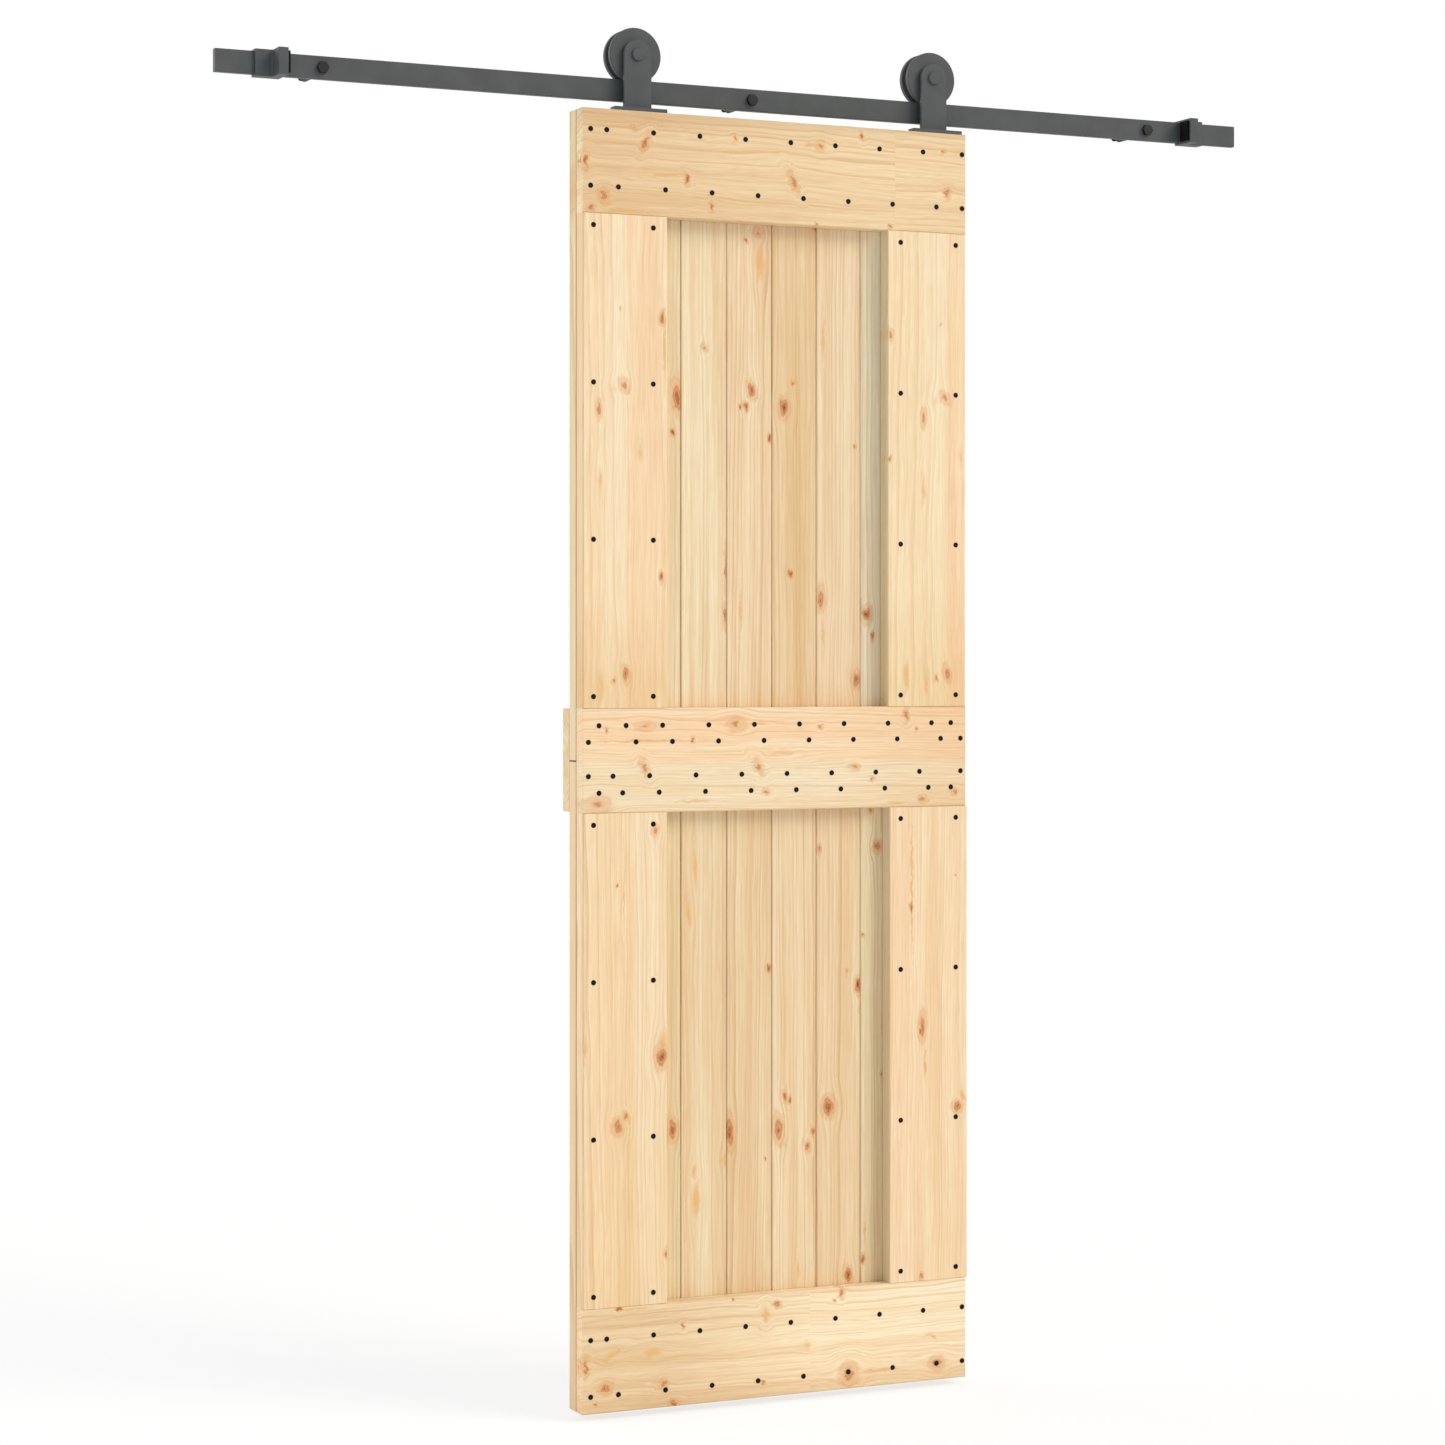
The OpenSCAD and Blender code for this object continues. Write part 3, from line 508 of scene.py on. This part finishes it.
def knotty_pine(name, seed, tones, ring, contrast, pith, lean, wander, staves=(), shades=(),
                knots=(), streaks=(), checks=()):
    """Planed pine: cream early wood and tan late wood in rings around the pith, with red-brown knots."""
    material, tree, shader, raw = start(name + "_pine", WOOD_SPECULAR)
    place = board_place(tree, name, raw)
    uneven = shaken(tree, place, OUTLINE_SIZE, OUTLINE_SHAKE)
    knot, knot_push = marks(tree, uneven, knots)
    streak, streak_push = marks(tree, uneven, streaks)
    grain = add(tree, "VectorMath", {0: place, 1: knot_push})
    grain = add(tree, "VectorMath", {0: grain, 1: streak_push})
    grain = add(tree, "VectorMath", {0: grain, 1: (0, 0, BOARD_STEP * seed)})
    colour, grain = board_tones(tree, place, grain, tones, ring, staves, shades)
    dark, bent = year_rings(tree, grain, seed, ring, contrast, pith, lean, wander)
    colour = add(tree, "Mix", {SHARE: dark, UNDER: colour, OVER: linear(LATE_WOOD)}, **COVER)

    # Fibres, finer than a ring
    fibre = mottle(tree, bent, FIBRE_SIZE)
    tint = add(tree, "ValToRGB", {0: fibre}, stops=FIBRE_STOPS)
    colour = add(tree, "Mix", {SHARE: FIBRE_SHARE, UNDER: colour, OVER: tint}, **TINT)

    # Resin streaks, then knots over them, then the dark gaps of drying checks
    amber = add(tree, "ValToRGB", {0: streak}, stops=STREAK_STOPS)
    colour = add(tree, "Mix", {SHARE: amber, UNDER: colour, OVER: linear(AMBER)}, **COVER)
    heart = add(tree, "ValToRGB", {0: knot}, stops=KNOT_STOPS)
    colour = add(tree, "Mix", {SHARE: heart.outputs["Alpha"], UNDER: colour, OVER: heart}, **COVER)
    if checks:
        check, _ = marks(tree, place, checks)
        gap = add(tree, "ValToRGB", {0: check}, stops=CHECK_STOPS)
        colour = add(tree, "Mix", {SHARE: gap, UNDER: colour, OVER: linear(OPEN_CHECK)}, **COVER)

    # Planed surface: fibres stand a little proud, so gloss and bump follow them
    matt = add(tree, "MapRange", {"Value": fibre, "To Min": WOOD_ROUGHNESS[0], "To Max": WOOD_ROUGHNESS[1]})
    height = add(tree, "Math", {0: dark, 1: LATE_WOOD_RISE, 2: fibre}, operation="MULTIPLY_ADD")
    surface(tree, shader, colour, matt, height, WOOD_BUMP, WOOD_RELIEF, WOOD_ARRIS)
    return material


# Finishes have two tones in soft clouds, grit and relief in millimetres, and a gloss that the grit breaks up
# The grit is drawn coarser than the real one, so that it shows
FINISHES = {
    # Cured powder on steel: an even dark grey with faint orange peel and a low gloss
    "powder_coated_steel": dict(
        tones=("#4b4f50", "#515556"), grit=1.6, relief=0.18,
        metallic=0.0, roughness=(0.42, 0.62), specular=0.25,
    ),
    # Hot-blacked bolts: near black and slightly oily, with fine tooling marks
    "black_oxide_steel": dict(
        tones=("#171818", "#1f2120"), grit=1.2, relief=0.06,
        metallic=0.0, roughness=(0.4, 0.55), specular=0.3,
    ),
    # Blackened nail heads: dull black, rough from the hammer
    "blackened_nail_steel": dict(
        tones=("#0c0a09", "#151210"), grit=1.0, relief=0.06,
        metallic=0.0, roughness=(0.6, 0.75), specular=0.15,
    ),
    # Zinc plating: a bright cool grey metal, a little cloudy
    "zinc_plated_steel": dict(
        tones=("#9da0a1", "#b6b9ba"), grit=1.2, relief=0.03,
        metallic=1.0, roughness=(0.3, 0.45), specular=0.5,
    ),
    # Moulded rubber: matt black that gives almost no gloss
    "moulded_rubber": dict(
        tones=("#0b0b0b", "#121211"), grit=1.5, relief=0.1,
        metallic=0.0, roughness=(0.75, 0.9), specular=0.1,
    ),
}
# The first words that are found in a piece's name choose its finish
WEARS = (
    ("stop_pad", "moulded_rubber"), ("nails", "blackened_nail_steel"), ("wall_bolt", "black_oxide_steel"),
    ("wall_spacer", "black_oxide_steel"), ("screws", "black_oxide_steel"), ("_spacer", "zinc_plated_steel"),
    ("axle_nut", "zinc_plated_steel"), ("bearing", "zinc_plated_steel"), ("", "powder_coated_steel"),
)
# Clouds in millimetres, the parts of the mottle in which tones and gloss change, how strongly the relief
# shows, and the slightly round edges that tumbling and a coat leave, in millimetres
CLOUD_SIZE = (45, 45, 45)
CLOUD_RANGE = (0.35, 0.65)
GRIT_RANGE = (0.3, 0.7)
FINISH_BUMP = 0.5
FINISH_ARRIS = 0.8


def finished(name, tones, grit, relief, metallic, roughness, specular):
    """A finish with soft clouds of two tones and a fine grit, in millimetres, that breaks up its gloss."""
    material, tree, shader, raw = start(name, specular)
    shader.inputs["Metallic"].default_value = metallic
    place = add(tree, "Mapping", {"Vector": raw, "Scale": (MM, MM, MM)})
    cloud = mottle(tree, place, CLOUD_SIZE)
    tone_stops = [(position, linear(tone)) for position, tone in zip(CLOUD_RANGE, tones)]
    colour = add(tree, "ValToRGB", {0: cloud}, stops=tone_stops, out="Color")
    grain = mottle(tree, place, (grit, grit, grit))
    gloss = add(tree, "MapRange", {
        "Value": grain, "From Min": GRIT_RANGE[0], "From Max": GRIT_RANGE[1],
        "To Min": roughness[0], "To Max": roughness[1],
    })
    surface(tree, shader, colour, gloss, grain, FINISH_BUMP, relief, FINISH_ARRIS)
    return material


# Thread on the free ends of the wall bolts, in millimetres: its pitch, its radii and its gap to both ends
THREAD_PITCH = 1.5
THREAD_ROOT = 4.4
THREAD_CREST = 4.95
THREAD_INSET = 0.8
# Half of the ridge's width at its root and at its crest, as shares of the pitch, and the corners across it
ROOT_HALF = 0.42
CREST_HALF = 0.08
RIDGE_CORNERS = 4
# Steps in a turn, and the turns in which the ridge runs out
THREAD_STEPS = 28
RUN_OUT = 0.5


def cut_thread(bolt, material):
    """A ridge wound round the free end of a wall bolt, which runs out flat at both ends."""
    low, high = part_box(bolt)
    axis = (low + high) / 2
    count = round(THREAD_STEPS * (high.y * MM - 2 * THREAD_INSET) / THREAD_PITCH)
    fade = RUN_OUT * THREAD_STEPS
    points = []
    for step in range(count + 1):
        turn = 2 * math.pi * step / THREAD_STEPS
        along = THREAD_INSET + THREAD_PITCH * step / THREAD_STEPS
        rise = min(1.0, step / fade, (count - step) / fade)
        crest = THREAD_ROOT + (THREAD_CREST - THREAD_ROOT) * rise
        ridge = (
            (THREAD_ROOT, -ROOT_HALF), (crest, -CREST_HALF), (crest, CREST_HALF), (THREAD_ROOT, ROOT_HALF),
        )
        for radius, aside in ridge:
            points.append((
                axis.x + radius * math.cos(turn) / MM, (along + aside * THREAD_PITCH) / MM,
                axis.z + radius * math.sin(turn) / MM,
            ))
    corners = range(RIDGE_CORNERS)
    faces = [tuple(corners), tuple(RIDGE_CORNERS * count + corner for corner in reversed(corners))]
    for step in range(count):
        first = RIDGE_CORNERS * step
        for corner in corners:
            near, far = first + corner, first + (corner + 1) % RIDGE_CORNERS
            faces.append((near, near + RIDGE_CORNERS, far + RIDGE_CORNERS, far))
    mesh = bpy.data.meshes.new(bolt + "_thread")
    mesh.from_pydata(points, [], faces)
    mesh.materials.append(material)
    thread = bpy.data.objects.new(bolt + "_thread", mesh)
    bpy.context.scene.collection.objects.link(thread)
    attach(thread, "track")


def dress():
    """Gives every node of the part its finish, and the wall bolts their threads."""
    finishes = {name: finished(name, **look) for name, look in FINISHES.items()}
    materials = {name: knotty_pine(name, seed, **grain) for seed, (name, grain) in enumerate(WOOD.items())}
    for name in sorted(set(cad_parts) - set(WOOD)):
        materials[name] = finishes[next(finish for words, finish in WEARS if words in name)]
    for name, material in materials.items():
        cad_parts[name].data.materials.clear()
        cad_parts[name].data.materials.append(material)
    for name in sorted(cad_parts):
        if name.endswith("wall_bolt"):
            cut_thread(name, materials[name])


def seen_rays(tree):
    """1 for rays from the camera, from gloss and through glass."""
    rays = add(tree, "LightPath")
    gloss = add(tree, "Math", {0: rays.outputs["Is Camera Ray"], 1: rays.outputs["Is Glossy Ray"]},
                operation="MAXIMUM")
    return add(tree, "Math", {0: gloss, 1: rays.outputs["Is Transmission Ray"]}, operation="MAXIMUM")


def light():
    """A white sky, a soft key lamp from the upper right and a soft side lamp from behind on the left."""
    world = bpy.data.worlds.new("studio")
    bpy.context.scene.world = world
    world.use_nodes = True
    tree = world.node_tree
    sky = tree.nodes["Background"]
    sky.inputs["Color"].default_value = (*SKY_TINT, 1)
    sky.inputs["Strength"].default_value = SKY_SHARE
    white = add(tree, "Background", {"Color": WHITE, "Strength": 1.0})
    shown = add(tree, "MixShader", {0: seen_rays(tree), 1: sky, 2: white})
    tree.links.new(shown.outputs[0], tree.nodes["World Output"].inputs["Surface"])
    for name, look in LAMPS.items():
        lamp = bpy.data.lights.new(name, "SUN")
        lamp.energy = look["share"] * math.pi
        lamp.color = look["tint"]
        lamp.angle = math.radians(look["spread"])
        holder = bpy.data.objects.new(name, lamp)
        holder.rotation_mode = "QUATERNION"
        holder.rotation_quaternion = Vector(look["source"]).to_track_quat("Z", "Y")
        bpy.context.scene.collection.objects.link(holder)


def lay_floor():
    """A pale floor just under the leaf, which blends into the white background and keeps the shadow."""
    half = FLOOR_SIZE / 2
    level = cad_low.z - FLOOR_GAP
    corners = [(-half, -half, level), (half, -half, level), (half, half, level), (-half, half, level)]
    mesh = bpy.data.meshes.new("floor")
    mesh.from_pydata(corners, [], [(0, 1, 2, 3)])
    floor = bpy.data.objects.new("floor", mesh)
    bpy.context.scene.collection.objects.link(floor)
    material, tree, shader, _ = start("white_floor", FLOOR_SPECULAR)
    shader.inputs["Base Color"].default_value = linear(FLOOR_TONE)
    shader.inputs["Roughness"].default_value = FLOOR_ROUGHNESS
    fill = (1 - SHADOW_SHARE * FLOOR_LIGHT) / (1 - SHADOW_SHARE)
    white = add(tree, "Emission", {"Color": WHITE, "Strength": fill})
    cover = add(tree, "Math", {0: seen_rays(tree), 1: 1 - SHADOW_SHARE}, operation="MULTIPLY")
    shown = add(tree, "MixShader", {0: cover, 1: shader, 2: white})
    tree.links.new(shown.outputs[0], tree.nodes["Material Output"].inputs["Surface"])
    mesh.materials.append(material)


def set_camera():
    """A level camera, turned to the right, with its frame shifted down from the horizon."""
    lens = bpy.data.cameras.new("camera")
    lens.lens = CAMERA_LENS
    lens.sensor_width = CAMERA_SENSOR
    lens.shift_y = -HORIZON_ABOVE_CENTRE / PHOTO_SIZE
    camera = bpy.data.objects.new("camera", lens)
    camera.location = CAMERA_AT
    camera.rotation_euler = (math.radians(90), 0, math.radians(CAMERA_TURN))
    bpy.context.scene.collection.objects.link(camera)
    bpy.context.scene.camera = camera


set_camera()
dress()
lay_floor()
light()
bpy.context.scene.view_settings.view_transform = "Standard"
